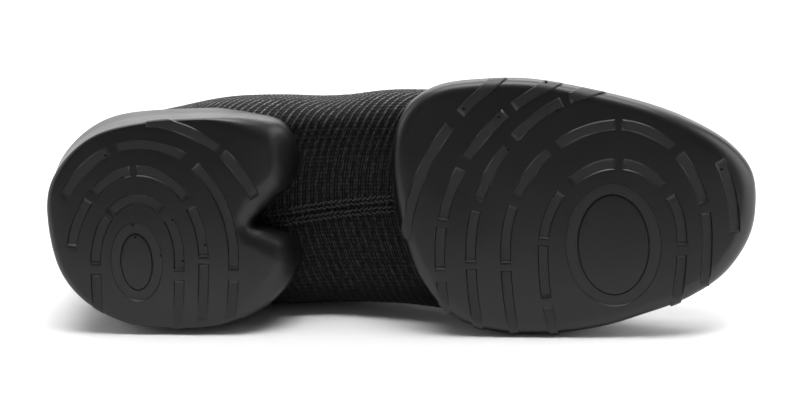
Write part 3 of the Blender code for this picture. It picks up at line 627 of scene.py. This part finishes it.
class Pod:
    """One moulded pod: tread with slots and badge, rolled edge, side wall, rim and lid."""

    def __init__(self, outline, width, count, middle_x, ground, arch, roll, lean, badge, rings,
                 bars, pits):
        self.middle = np.array([middle_x * LENGTH, 0.0])
        self.outline = Outline(outline, width, count, self.middle)
        self.ground, self.arch, self.roll, self.lean = ground, arch, roll, lean
        self.badge, self.width = badge, width
        self.pits = skewed(np.array(pits) * MM)
        self.bars = [Bar(badge, rings[ring - 1], *arc) for ring, arcs in bars.items() for arc in arcs]

    def tread_plan(self):
        """Triangles in plan inside the outline, following every edge of the relief."""
        loops = []
        edge = self.outline
        radius = self.roll(edge.loop)[:, None]
        for degrees in ROLL_STEPS:
            loops.append(edge.loop + edge.inward * radius * (1 - math.sin(math.radians(degrees))))
        for bar in self.bars:
            loops += [bar.contour(*gaps) for gaps in BAR_LINES]
        for axes, table in ((1, BAND_SECTION), (2, INNER_SECTION)):
            loops += [oval(self.badge, axes, offset * MM) for offset, _ in table]
        for pit in self.pits:
            loops += [pit + circle(PIT_POINTS) * reach * MM for reach, _ in PIT_SECTION]
        verts, edges = [], []
        for loop in loops:
            start = len(verts)
            verts += [Vector(p) for p in loop]
            edges += [(start + i, start + (i + 1) % len(loop)) for i in range(len(loop))]
        low, high = edge.loop.min(0), edge.loop.max(0)
        xs = np.arange(low[0], high[0], TREAD_GRID)
        ys = np.arange(low[1], high[1], TREAD_GRID)
        grid = np.stack(np.meshgrid(xs, ys), -1).reshape(-1, 2)
        grid[:, 0] += GRID_SLANT * grid[:, 1]
        grid = grid[edge.contains(grid)]
        verts += [Vector(p) for p in grid[edge.nearest(grid)[0] > GRID_GAP]]
        out = delaunay_2d_cdt(verts, edges, [], 0, 1e-7, False)
        points = np.array([tuple(v) for v in out[0]])
        triangles = np.array(out[2])
        inside = edge.contains(points[triangles].mean(1))
        return points, triangles[inside]

    def relief(self, points):
        """At plan points: lean and rise of the rolled edge, how far the surface is sunk along its
        normal, nearest edge point, inward direction, and 1 on the floors of bars and badge."""
        distance, place, inward = self.outline.nearest(points)
        radius = self.roll(place)
        lean, away = edge_profile(distance, radius)
        sunk = BAR_DEPTH - FLOOR_FOLLOW * self.crown(points) - away
        sunk = np.maximum(sunk * np.cos(lean), -BAR_PROUD)
        share = np.zeros(len(points))
        for bar in self.bars:
            share = np.maximum(share, bar.share(points))
        depth = share * sunk
        band = section(BAND_SECTION, oval_distance(points, self.badge, 1))
        inner = oval_distance(points, self.badge, 2)
        depth = np.where(band > 0, band * BADGE_DEPTH, depth)
        depth = np.where(inner < INNER_SECTION[-1][0] * MM,
                         section(INNER_SECTION, inner) * BADGE_DEPTH, depth)
        for pit in self.pits:
            gap = np.linalg.norm(points - pit, axis=1)
            depth = depth + section(PIT_SECTION, gap) * PIT_DEPTH
        floor = np.maximum(share, band * (inner > 0))
        return lean, away, depth * (1 - ease(lean, *RELIEF_END)), place, inward, floor

    def surface(self, points):
        """Tread and rolled edge over plan points, and the share of floor there."""
        lean, away, depth, place, inward, floor = self.relief(points)
        x = points[:, 0] + (place[:, 0] - points[:, 0]) * np.sin(lean)
        z = self.ground(x) + self.crown(points) + away
        plan = points + inward * (depth * np.sin(lean))[:, None]
        return np.column_stack([plan, z + depth * np.cos(lean)]), floor

    def crown(self, points):
        """Rise of the tread to both sides of its lowest line."""
        low, rise = self.arch
        return rise * ((points[:, 1] / self.width - low) / (0.5 + low)) ** 2

    def build(self, name, node, wall, rise, material):
        """The pod as one closed mesh: tread, side wall, rim and lid."""
        plan, triangles = self.tread_plan()
        tread, floor = self.surface(plan)
        loop = boundary(triangles)
        _, place, inward = self.outline.nearest(plan[loop])
        base = tread[loop][:, 2]
        rim = bed(place[:, 0]) + rise
        rings = []
        lean = self.lean(place)[:, None]
        for share, inset in wall:
            p = place + inward * (inset * MM + lean * share)
            rings.append(np.column_stack([p, base + (rim - base) * share]))
        last = wall[-1][1]
        for inset in last + np.array(LID_INSETS):
            p = place + inward * (inset * MM + lean)
            rings.append(np.column_stack([p, self.lid(p, rim)]))
        core = rings[-1][:, :2]
        for share in LID_SHARES:
            p = self.middle + (core - self.middle) * share
            rings.append(np.column_stack([p, self.lid(p, rim)]))
        points = np.vstack([tread] + rings
                           + [np.array([[*self.middle, self.lid(self.middle[None], 1.0)[0]]])])
        faces = triangles.tolist()
        count = len(loop)
        before = loop
        for n in range(len(rings)):
            row = len(tread) + n * count + np.arange(count)
            after, ahead = np.roll(before, -1), np.roll(row, -1)
            faces += np.stack([before, after, ahead, row], 1).tolist()
            before = row
        tip = len(points) - 1
        faces += [[int(a), int(b), tip] for a, b in zip(before, np.roll(before, -1))]
        floors = np.zeros(len(points))
        floors[:len(floor)] = floor
        obj = world_mesh(name, points, faces, material, smooth_angle=38, values={"floor": floors})
        attach(obj, "sole_rubber", node)

    def lid(self, plan, rim):
        """Height of the lid: level with the rim, and under the upper where that is lower."""
        return np.minimum(rim, underside(plan[:, 0], plan[:, 1]) - LID_GAP)


def boundary(triangles):
    """Indices of the one boundary loop of a set of triangles, in order."""
    ahead = {}
    used = set()
    for a, b, c in triangles.tolist():
        used.update([(a, b), (b, c), (c, a)])
    for a, b in used:
        if (b, a) not in used:
            ahead[a] = b
    loop = [min(ahead)]
    while ahead[loop[-1]] != loop[0]:
        loop.append(ahead[loop[-1]])
    return np.array(loop)


def rib_directions():
    """Anchor x, plan direction and run along the shoe of each rib, once round."""
    xs = np.concatenate([np.arange(HEEL_X, KNIT_ZONE[0], RIB_STEPS["back"]),
                         np.arange(*KNIT_ZONE, RIB_STEPS["knit"]),
                         np.arange(KNIT_ZONE[1], TOE_X - TOE_GAP, RIB_STEPS["front"]), [TOE_X]])
    toe = np.linspace(90, -90, TOE_FAN_RIBS + 1)[1:-1]
    heel = np.linspace(270, 90, HEEL_FAN_RIBS + 1)[1:-1]
    anchor = np.concatenate([xs, np.full(len(toe), TOE_X), xs[::-1], np.full(len(heel), HEEL_X)])
    angle = np.concatenate([np.full(len(xs), 90.0), toe, np.full(len(xs), -90.0), heel])
    c, s = np.cos(np.radians(angle)), np.sin(np.radians(angle))
    fanned = np.radians(90) - np.arcsin(np.minimum(np.abs(s), 1))
    run = anchor + fanned * np.where(c > 0, FAN_RUN["toe"], -FAN_RUN["heel"])
    c[np.abs(c) < 1e-9] = 0.0
    return anchor, c, s, run


def collar_reach(x, c, s):
    """Half opening along a rib, zero ahead of the collar."""
    half = half_width(OPENING_TABLE, x, s)
    back = HEEL_X - COLLAR_BACK * LENGTH
    share = np.clip((x - HEEL_X) / (COLLAR_FRONT * LENGTH - HEEL_X), 0, 1)
    side = half * np.sqrt(1 - share**COLLAR_POWER)
    return np.where(share <= 0, 1 / np.hypot(c / back, s / half), side)


def upper_form():
    """Outer face of the upper as a grid of ribs and rows, with its run up each rib."""
    anchor, c, s, run = rib_directions()
    side = half_width(SIDE_TABLE, anchor, s)
    toe, heel = fan_reaches(c, s)
    reach = np.where(c > 0, toe, np.where(c < 0, heel, side))
    collar = collar_reach(anchor, c, s)
    opening = anchor < COLLAR_FRONT * LENGTH - 1e-9
    tip = anchor + c * reach
    low, mid = bed(tip), bed(tip) + belly_rise(tip)
    rim = COLLAR_HEIGHT * curve(COLLAR_TABLE, (anchor + c * collar) / LENGTH)
    ridge = INSTEP_HEIGHT * curve(RIDGE_TABLE, anchor / LENGTH)
    top = np.where(opening, rim, ridge)
    vamp = ease(anchor / LENGTH, VAMP_START, COLLAR_FRONT)
    r, z = [], []
    for share in UNDER_SHARES:
        r.append(share * reach)
        z.append(bed(anchor + c * share * reach))
    for degrees in np.linspace(0, 90, FEATHER_ROWS + 1)[1:]:
        t = math.radians(degrees)
        r.append(reach * (FLAT_SHARE + (1 - FLAT_SHARE) * math.sin(t)))
        z.append(low + (mid - low) * (1 - math.cos(t)))
    for share in side_shares():
        t = math.radians(90 * share)
        rise = share * (1 - vamp) + math.sin(t) * vamp
        r.append(collar + (reach - collar) * max(math.cos(t), 0.0) ** SIDE_POWER)
        z.append(mid + (top - mid) * rise)
    r, z = np.array(r).T, np.array(z).T
    points = np.stack([anchor[:, None] + c[:, None] * r, s[:, None] * r, z], 2)
    up = np.linalg.norm(np.diff(points, axis=1), axis=2)
    height = np.concatenate([np.zeros((len(anchor), 1)), np.cumsum(up, 1)], 1)
    return points, run, height, opening, anchor


def side_shares():
    """Shares of the way up the side, closer together at the cuff's step."""
    low = np.linspace(0, CUFF_SHARE, SIDE_ROWS - CUFF_ROWS)[1:]
    first, second = (CUFF_SHARE + edge for edge in CUFF_EDGES)
    return np.concatenate([low, [first], np.linspace(second, 1, CUFF_ROWS)])


def welded_normals(points):
    """Normals of the grid, averaged where ribs meet, and the ids of the shared points."""
    flat = points.reshape(-1, 3)
    unique, ids = np.unique(np.round(flat, 7), axis=0, return_inverse=True)
    ids = ids.reshape(points.shape[:2])
    a, b = points[:, :-1], points[:, 1:]
    d, c = np.roll(a, -1, 0), np.roll(b, -1, 0)
    normal = np.cross(c - a, b - d)
    normal *= np.sign(-normal[len(points) // 8, 0, 2])
    sums = np.zeros((len(unique), 3))
    grid = np.arange(len(flat)).reshape(ids.shape)
    for corner in (ids[:, :-1], ids[:, 1:], np.roll(ids, -1, 0)[:, :-1], np.roll(ids, -1, 0)[:, 1:]):
        np.add.at(sums, corner.ravel(), normal.reshape(-1, 3))
    sums /= np.maximum(np.linalg.norm(sums, axis=1), 1e-20)[:, None]
    return sums[ids], ids


def knit_sweep(height, lateral):
    """Lean of the knit's ridges towards the toe, more and more away from the seam."""
    up = height / MM
    lean, top, power = LATERAL_SWEEP
    return np.where(lateral, lean * (up / top) ** power,
                    MEDIAL_SWEEP[0] * up + MEDIAL_SWEEP[1] * up**2) * MM


def folds(run, height, lateral):
    """Relief of the soft folds in the knit."""
    x, up = run[:, None] / MM, height / MM
    rise = sum(r * np.exp(-((x - cx) / wx) ** 2 - ((up - cu) / wu) ** 2)
               for cx, wx, cu, wu, r in FOLDS)
    return rise * MM * lateral


def seam_axis():
    """Start, direction and length of the arch seam in plan."""
    start, end = (np.array(p) for p in SEAM_LINE)
    length = np.linalg.norm(end - start)
    return start, (end - start) / length, length


def welt(points):
    """Relief of the puckered seam under the arch."""
    start, along, length = seam_axis()
    d = points[..., :2] - start
    run = (d * along).sum(-1)
    gap = (d[..., 1] * along[0] - d[..., 0] * along[1]) / MM
    shape = sum(height * np.exp(-((gap - place) / width) ** 2) for place, width, height in WELT)
    first, full, fade, last = WELT_ENDS
    ends = ease(run, first, full) * (1 - ease(run, length + fade, length + last))
    return shape * MM * ends * (points[..., 2] < bed(points[..., 0]) + WELT_LIMIT)


def shared_mean(values, ids):
    """Values of a grid, averaged where its points are shared."""
    ids = ids.ravel()
    return (np.bincount(ids, values.ravel()) / np.bincount(ids))[ids].reshape(values.shape)


def make_upper(knit, lining):
    """Knit shell: outer face with ridges, welt, folds and cuff, round rim, and inner face."""
    points, run, height, opening, anchor = upper_form()
    normals, ids = welded_normals(points)
    outer_rows = points.shape[1]
    lateral = points[..., 1] < 0
    wale = run[:, None] - knit_sweep(height, lateral)
    zone = ease(anchor, *KNIT_FADE[:2]) * (1 - ease(anchor, *KNIT_FADE[2:]))
    cord = (0.5 + 0.5 * np.cos(2 * math.pi * wale / WALE_PITCH)) ** 2
    relief = WALE_HEIGHT * (cord - 0.4) * zone[:, None] + welt(points)
    bulge = folds(run, height, lateral)
    first_cuff = UNDER_ROWS + FEATHER_ROWS + SIDE_ROWS - CUFF_ROWS
    cuff = (np.arange(outer_rows) >= first_cuff) & (anchor <= CUFF_FRONT * LENGTH)[:, None]
    ribbing = CUFF_STEP + CUFF_RIB[1] * np.sin(2 * math.pi * run / CUFF_RIB[0])[:, None]
    offset = shared_mean(np.where(cuff, ribbing, relief) + bulge, ids)
    outer = points + normals * offset[..., None]
    top, top_normal = points[:, -1], normals[:, -1]
    bulge = shared_mean(bulge, ids)
    half = (offset[:, -1] - bulge[:, -1] + WALL) / 2
    rim = []
    for t in np.linspace(0, math.pi, RIM_STEPS + 2)[1:-1]:
        level = offset[:, -1] - half + half * math.cos(t)
        rim.append(top + top_normal * level[:, None]
                   + np.array([0, 0, 1]) * (half * math.sin(t))[:, None])
    rim = np.stack(rim, 1)
    pick = np.unique(np.concatenate([np.arange(0, UNDER_ROWS, 4),
                                     np.arange(UNDER_ROWS, outer_rows, 3), [outer_rows - 1]]))[::-1]
    inner = points[:, pick] + normals[:, pick] * (bulge[:, pick, None] - WALL)
    grid = np.concatenate([outer, rim, inner], 1)
    rim_run = height[:, -1:] + np.linspace(0, RIM_RUN, RIM_STEPS)
    up = np.concatenate([height, rim_run, height[:, pick]], 1)
    rim_side = np.repeat(lateral[:, -1:], RIM_STEPS, 1)
    sides = np.concatenate([lateral, rim_side, lateral[:, pick]], 1)
    uv = np.stack([run[:, None] - knit_sweep(up, sides), up], 2).reshape(-1, 2)
    sideways = -2 * grid[..., 1] / BALL_WIDTH
    count, rows = grid.shape[:2]
    index = np.arange(count * rows).reshape(count, rows)
    ahead = np.roll(index, -1, 0)
    quads = np.stack([index[:, :-1], index[:, 1:], ahead[:, 1:], ahead[:, :-1]], 2)
    closed = ~(opening | np.roll(opening, -1))
    keep = np.ones(quads.shape[:2], bool)
    keep[closed, outer_rows - 1:outer_rows + RIM_STEPS] = False
    inside = np.nonzero(keep)[1] >= outer_rows + RIM_STEPS - 1
    obj = world_mesh("knit_upper", grid.reshape(-1, 3), quads[keep].tolist(), knit,
                     uv=uv / MM, second=(lining, inside), values={"lateral": sideways.ravel()})
    attach(obj, "knit", "upper")


def make_seam(material):
    """Puckered seam under the arch: rows of short thread loops on a low ridge."""
    pitch, radius, rise, spanned, slant, spread = STITCH
    start, along, length = seam_axis()
    across = np.array([-along[1], along[0]])
    points, faces = [], []

    def tube(path):
        """Closed thread along a path, thinner towards its ends."""
        first, sides = len(points), THREAD_SIDES
        path = np.array(path)
        tangent = unit(np.gradient(path, axis=0))
        for p, t, share in zip(path, tangent, np.linspace(0, 1, len(path))):
            u = np.cross(t, [0.0, 0.0, 1.0])
            u /= max(np.linalg.norm(u), 1e-9)
            v = np.cross(t, u)
            width = radius * (0.35 + 0.65 * math.sin(math.pi * share) ** 0.5)
            for k in range(sides):
                a = 2 * math.pi * k / sides
                points.append(p + width * (u * math.cos(a) + v * math.sin(a)))
        rings = first + np.arange(len(path) * sides).reshape(-1, sides)
        turned = np.roll(rings, -1, 1)
        quads = np.stack([rings[:-1], turned[:-1], turned[1:], rings[1:]], 2)
        faces.extend(quads.reshape(-1, 4).tolist())
        faces.extend([rings[0].tolist(), rings[-1, ::-1].tolist()])

    rng = np.random.default_rng(SEAM_SEED)
    for n, row in enumerate(SEAM_ROWS):
        for k in range(int(length / pitch)):
            at = (k + (0.5 if n % 2 else 0.0)) * pitch
            lean = slant if n % 2 else -slant
            wobble = rng.normal(0, spread, 2)
            a = start + along * at + across * (row - lean + wobble[0])
            b = start + along * (at + pitch * spanned) + across * (row + lean + wobble[1])
            path = []
            for share in np.linspace(0, 1, THREAD_STEPS):
                p = a + (b - a) * share
                lift = rise * math.sin(math.pi * share)
                path.append([*p, bed(p[0]) + SEAM_LIFT - lift])
            tube(path)
    obj = world_mesh("arch_seam", np.array(points), faces, material)
    attach(obj, "knit")


class Shader:
    """Small helper for building a material's nodes."""

    def __init__(self, name):
        self.material = bpy.data.materials.new(name)
        self.material.use_nodes = True
        self.tree = self.material.node_tree
        self.bsdf = self.tree.nodes["Principled BSDF"]

    def node(self, kind, **sockets):
        out = self.tree.nodes.new(kind)
        for key, value in sockets.items():
            self.set(out.inputs[key.replace("_", " ")], value)
        return out

    def set(self, socket, value):
        if hasattr(value, "is_output"):
            self.tree.links.new(value, socket)
        else:
            socket.default_value = value

    def math(self, operation, *values):
        out = self.tree.nodes.new("ShaderNodeMath")
        out.operation = operation
        for k, value in enumerate(values):
            self.set(out.inputs[k], value)
        return out.outputs[0]

    def times(self, a, b):
        return self.math("MULTIPLY", a, b)

    def plus(self, a, b):
        return self.math("ADD", a, b)

    def without(self, value):
        return self.math("SUBTRACT", 1.0, value)

    def noise(self, scale, detail=2.0, vector=None):
        out = self.node("ShaderNodeTexNoise", Scale=scale, Detail=detail)
        place = vector or self.tree.nodes.new("ShaderNodeTexCoord").outputs["Object"]
        self.tree.links.new(place, out.inputs["Vector"])
        return out.outputs["Fac"]

    def wave(self, value, power):
        """Crests at whole numbers, narrower with a higher power."""
        turn = self.math("COSINE", self.times(value, 2 * math.pi))
        return self.math("POWER", self.ramp(turn, -1.0, 1.0), power)

    def attribute(self, name):
        out = self.tree.nodes.new("ShaderNodeAttribute")
        out.attribute_name = name
        return out.outputs["Fac"]

    def ramp(self, value, low, high, start=0.0, end=1.0):
        """Map value from low..high to start..end, held at the ends."""
        out = self.tree.nodes.new("ShaderNodeMapRange")
        for key, item in zip(("Value", "From Min", "From Max", "To Min", "To Max"),
                             (value, low, high, start, end)):
            self.set(out.inputs[key], item)
        return out.outputs["Result"]

    def mix(self, factor, a, b):
        out = self.tree.nodes.new("ShaderNodeMix")
        out.data_type = "RGBA"
        for key, item in (("Factor", factor), (6, a), (7, b)):
            self.set(out.inputs[key], (*item, 1) if isinstance(item, tuple) else item)
        return out.outputs[2]

    def bump(self, height, distance, strength):
        out = self.node("ShaderNodeBump", Strength=strength, Distance=distance)
        self.tree.links.new(height, out.inputs["Height"])
        self.tree.links.new(out.outputs["Normal"], self.bsdf.inputs["Normal"])

    def finish(self, **sockets):
        for key, value in sockets.items():
            self.set(self.bsdf.inputs[key.replace("_", " ")], value)
        return self.material


def rubber_material():
    """Moulded black rubber: satin tread with a fine grain, duller floors of bars and badge."""
    s = Shader("sole_rubber")
    grain = s.noise(GRAIN_SCALE, 3.0)
    cloud = s.noise(CLOUD_SCALE, 3.0)
    floor = s.attribute("floor")
    shade = s.ramp(cloud, 0.35, 0.65, 0.85, 1.15)
    tread = s.mix(shade, (0.0, 0.0, 0.0), TREAD_COLOR)
    rough = s.ramp(s.plus(cloud, s.times(grain, 0.4)), 0.45, 0.95, *RUBBER_ROUGHNESS)
    s.bump(grain, *GRAIN_BUMP)
    return s.finish(Base_Color=s.mix(floor, tread, FLOOR_COLOR),
                    Roughness=s.plus(rough, s.times(floor, FLOOR_ROUGHNESS)))


def knit_material():
    """Black knit: raised cords broken into loops, finer lines and cross courses between them, with a
    painted highlight on the lit lateral top and painted shade on the medial side, in the gaps and in
    the holes.
    """
    s = Shader("black_knit")
    uv = s.node("ShaderNodeSeparateXYZ")
    s.tree.links.new(s.node("ShaderNodeUVMap").outputs["UV"], uv.inputs["Vector"])
    wale = s.math("DIVIDE", uv.outputs["X"], WALE_PITCH / MM)
    height = uv.outputs["Y"]
    lateral = s.attribute("lateral")
    # painted highlight: the cords and their fuzz get a lighter colour towards the lateral top, where
    # the light falls
    top = s.ramp(lateral, *KNIT_PAINTED_HIGHLIGHT)
    place = s.node("ShaderNodeCombineXYZ", X=s.times(wale, STREAK_SCALE[0]),
                   Y=s.times(height, STREAK_SCALE[1]))
    streak = s.ramp(s.noise(1.0, 2.0, place.outputs["Vector"]), *STREAK_RANGE)
    fray = s.times(s.ramp(s.noise(FRAY_SCALE, 2.0), *FRAY_RANGE), s.plus(streak, s.times(top, 0.35)))
    cord = s.wave(wale, CORD_POWER)
    loop = s.wave(s.math("DIVIDE", height, LOOP_PITCH), SOFT_POWER)
    fine = s.wave(s.plus(s.times(wale, 3.0), 0.5), FINE_POWER)
    course = s.wave(s.math("DIVIDE", height, COURSE_PITCH), FINE_POWER)
    # dark breaks between the loops: partly the knit's own pattern, partly painted shade, deeper on the
    # lit top
    gap = s.times(s.plus(s.times(top, 0.45), 0.30), s.without(loop))
    loops = s.times(cord, s.without(gap))
    cords = s.times(loops, s.plus(s.times(top, 1.1), 0.13))
    low = s.times(s.plus(fine, s.times(course, 0.45)), 0.15)
    # painted shade: the open mesh's holes take the dark ground colour
    holes = s.times(s.wave(s.plus(wale, 0.5), SOFT_POWER),
                    s.wave(s.math("DIVIDE", height, HOLE_PITCH), SOFT_POWER))
    first, full, fade, last = MESH_BAND
    band = s.times(s.ramp(height, first, full), s.ramp(height, fade, last, 1.0, 0.0))
    band = s.times(band, s.ramp(lateral, 0.0, 0.1))
    solid = s.without(s.times(s.ramp(holes, *HOLE_RANGE), band))
    # painted shade: the knit's colour fades towards the medial side
    light = s.times(s.times(s.times(s.plus(cords, low), fray), solid),
                    s.ramp(lateral, *KNIT_PAINTED_SHADE))
    relief = s.plus(s.plus(loops, s.times(low, 2.2)), s.times(fray, 0.12))
    s.bump(s.times(relief, solid), *KNIT_BUMP)
    return s.finish(Base_Color=s.mix(light, KNIT_GROUND, KNIT_CORD),
                    Roughness=s.ramp(light, *KNIT_ROUGHNESS), Specular_IOR_Level=0.22)


def cloth_material(name):
    """Cloth with a fine nap, broken up by wider patches where a scale for them is given."""
    scale, detail, patch, dark, light, distance, strength, roughness, sheen = CLOTHS[name]
    s = Shader(name)
    nap = s.noise(scale, detail)
    share = s.times(nap, s.noise(patch, 2.0)) if patch else nap
    s.bump(nap, distance, strength)
    return s.finish(Base_Color=s.mix(share, dark, light), Roughness=roughness, Sheen_Weight=sheen)


def stage_and_light():
    """White floor that bends up behind the shoe, soft lights round it and faint room light."""
    s = Shader("white_sweep")
    s.finish(Base_Color=s.mix(s.noise(3.0, 1.0), *FLOOR_TONES), Roughness=0.9)
    bend = [(FLOOR_BEND + BEND_RADIUS * math.sin(a), BEND_RADIUS - BEND_RADIUS * math.cos(a))
            for a in np.linspace(0, math.pi / 2, 24)]
    profile = [(FLOOR_START, 0.0)] + bend + [(FLOOR_BEND + BEND_RADIUS, SWEEP_SIZE)]
    mesh = bpy.data.meshes.new("floor_sweep")
    verts = [(x, y, z) for y, z in profile for x in (-SWEEP_SIZE, SWEEP_SIZE)]
    mesh.from_pydata(verts, [], [[2 * i, 2 * i + 1, 2 * i + 3, 2 * i + 2]
                                 for i in range(len(profile) - 1)])
    mesh.shade_smooth()
    mesh.materials.append(s.material)
    floor = add_object("floor_sweep", mesh)
    for softbox in SOFTBOXES:
        add_light(*softbox)
    world = bpy.data.worlds.new("room")
    bpy.context.scene.world = world
    world.use_nodes = True
    world.node_tree.nodes["Background"].inputs["Color"].default_value = (*ROOM_LIGHT, 1)


def add_light(name, place, target, width, depth, power, spread):
    data = bpy.data.lights.new(name, "AREA")
    data.shape = "RECTANGLE"
    data.size, data.size_y, data.energy = width, depth, power
    data.spread = math.radians(spread)
    light = add_object(name, data)
    light.location = place
    light.rotation_euler = (Vector(target) - Vector(place)).to_track_quat("-Z", "Y").to_euler()


def add_camera():
    azimuth, elevation = (math.radians(a) for a in VIEW_ANGLE)
    back = Vector((math.sin(azimuth) * math.cos(elevation),
                   -math.cos(azimuth) * math.cos(elevation), math.sin(elevation)))
    data = bpy.data.cameras.new("photo_camera")
    data.sensor_width = 36.0
    data.lens = FOCAL_PIXELS * data.sensor_width / PHOTO_SIZE[0]
    data.shift_x = (PHOTO_SIZE[0] / 2 - PHOTO_CENTRE[0]) / PHOTO_SIZE[0]
    data.shift_y = (PHOTO_CENTRE[1] - PHOTO_SIZE[1] / 2) / PHOTO_SIZE[0]
    data.clip_start, data.clip_end = 0.05, 20.0
    camera = add_object("photo_camera", data)
    camera.location = VIEW_TARGET + back * VIEW_DISTANCE
    roll = Quaternion((0.0, 0.0, 1.0), math.radians(VIEW_ROLL))
    camera.rotation_euler = (back.to_track_quat("Z", "Y") @ roll).to_euler()
    bpy.context.scene.camera = camera


add_camera()
stage_and_light()
rubber = rubber_material()
heel_pod = Pod(HEEL_OUTLINE, HEEL_WIDTH, 520, 0.177, heel_ground, HEEL_CROWN, heel_roll,
               heel_lean, HEEL_BADGE, HEEL_RINGS, HEEL_BARS, HEEL_PITS)
heel_pod.build("heel_pod", "heel_sole", HEEL_WALL, HEEL_RISE, rubber)
fore_pod = Pod(FORE_OUTLINE, BALL_WIDTH, 640, 0.743, fore_ground, FORE_CROWN, fore_roll,
               fore_lean, FORE_BADGE, FORE_RINGS, FORE_BARS, FORE_PITS)
fore_pod.build("forefoot_pod", "forefoot_sole", FORE_WALL, FORE_RISE, rubber)
make_upper(knit_material(), cloth_material("lining_cloth"))
make_seam(cloth_material("seam_thread"))
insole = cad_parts["insole"]
insole.data.materials.clear()
insole.data.materials.append(cloth_material("insole_foam"))

view = bpy.context.scene.view_settings
view.view_transform = "Standard"
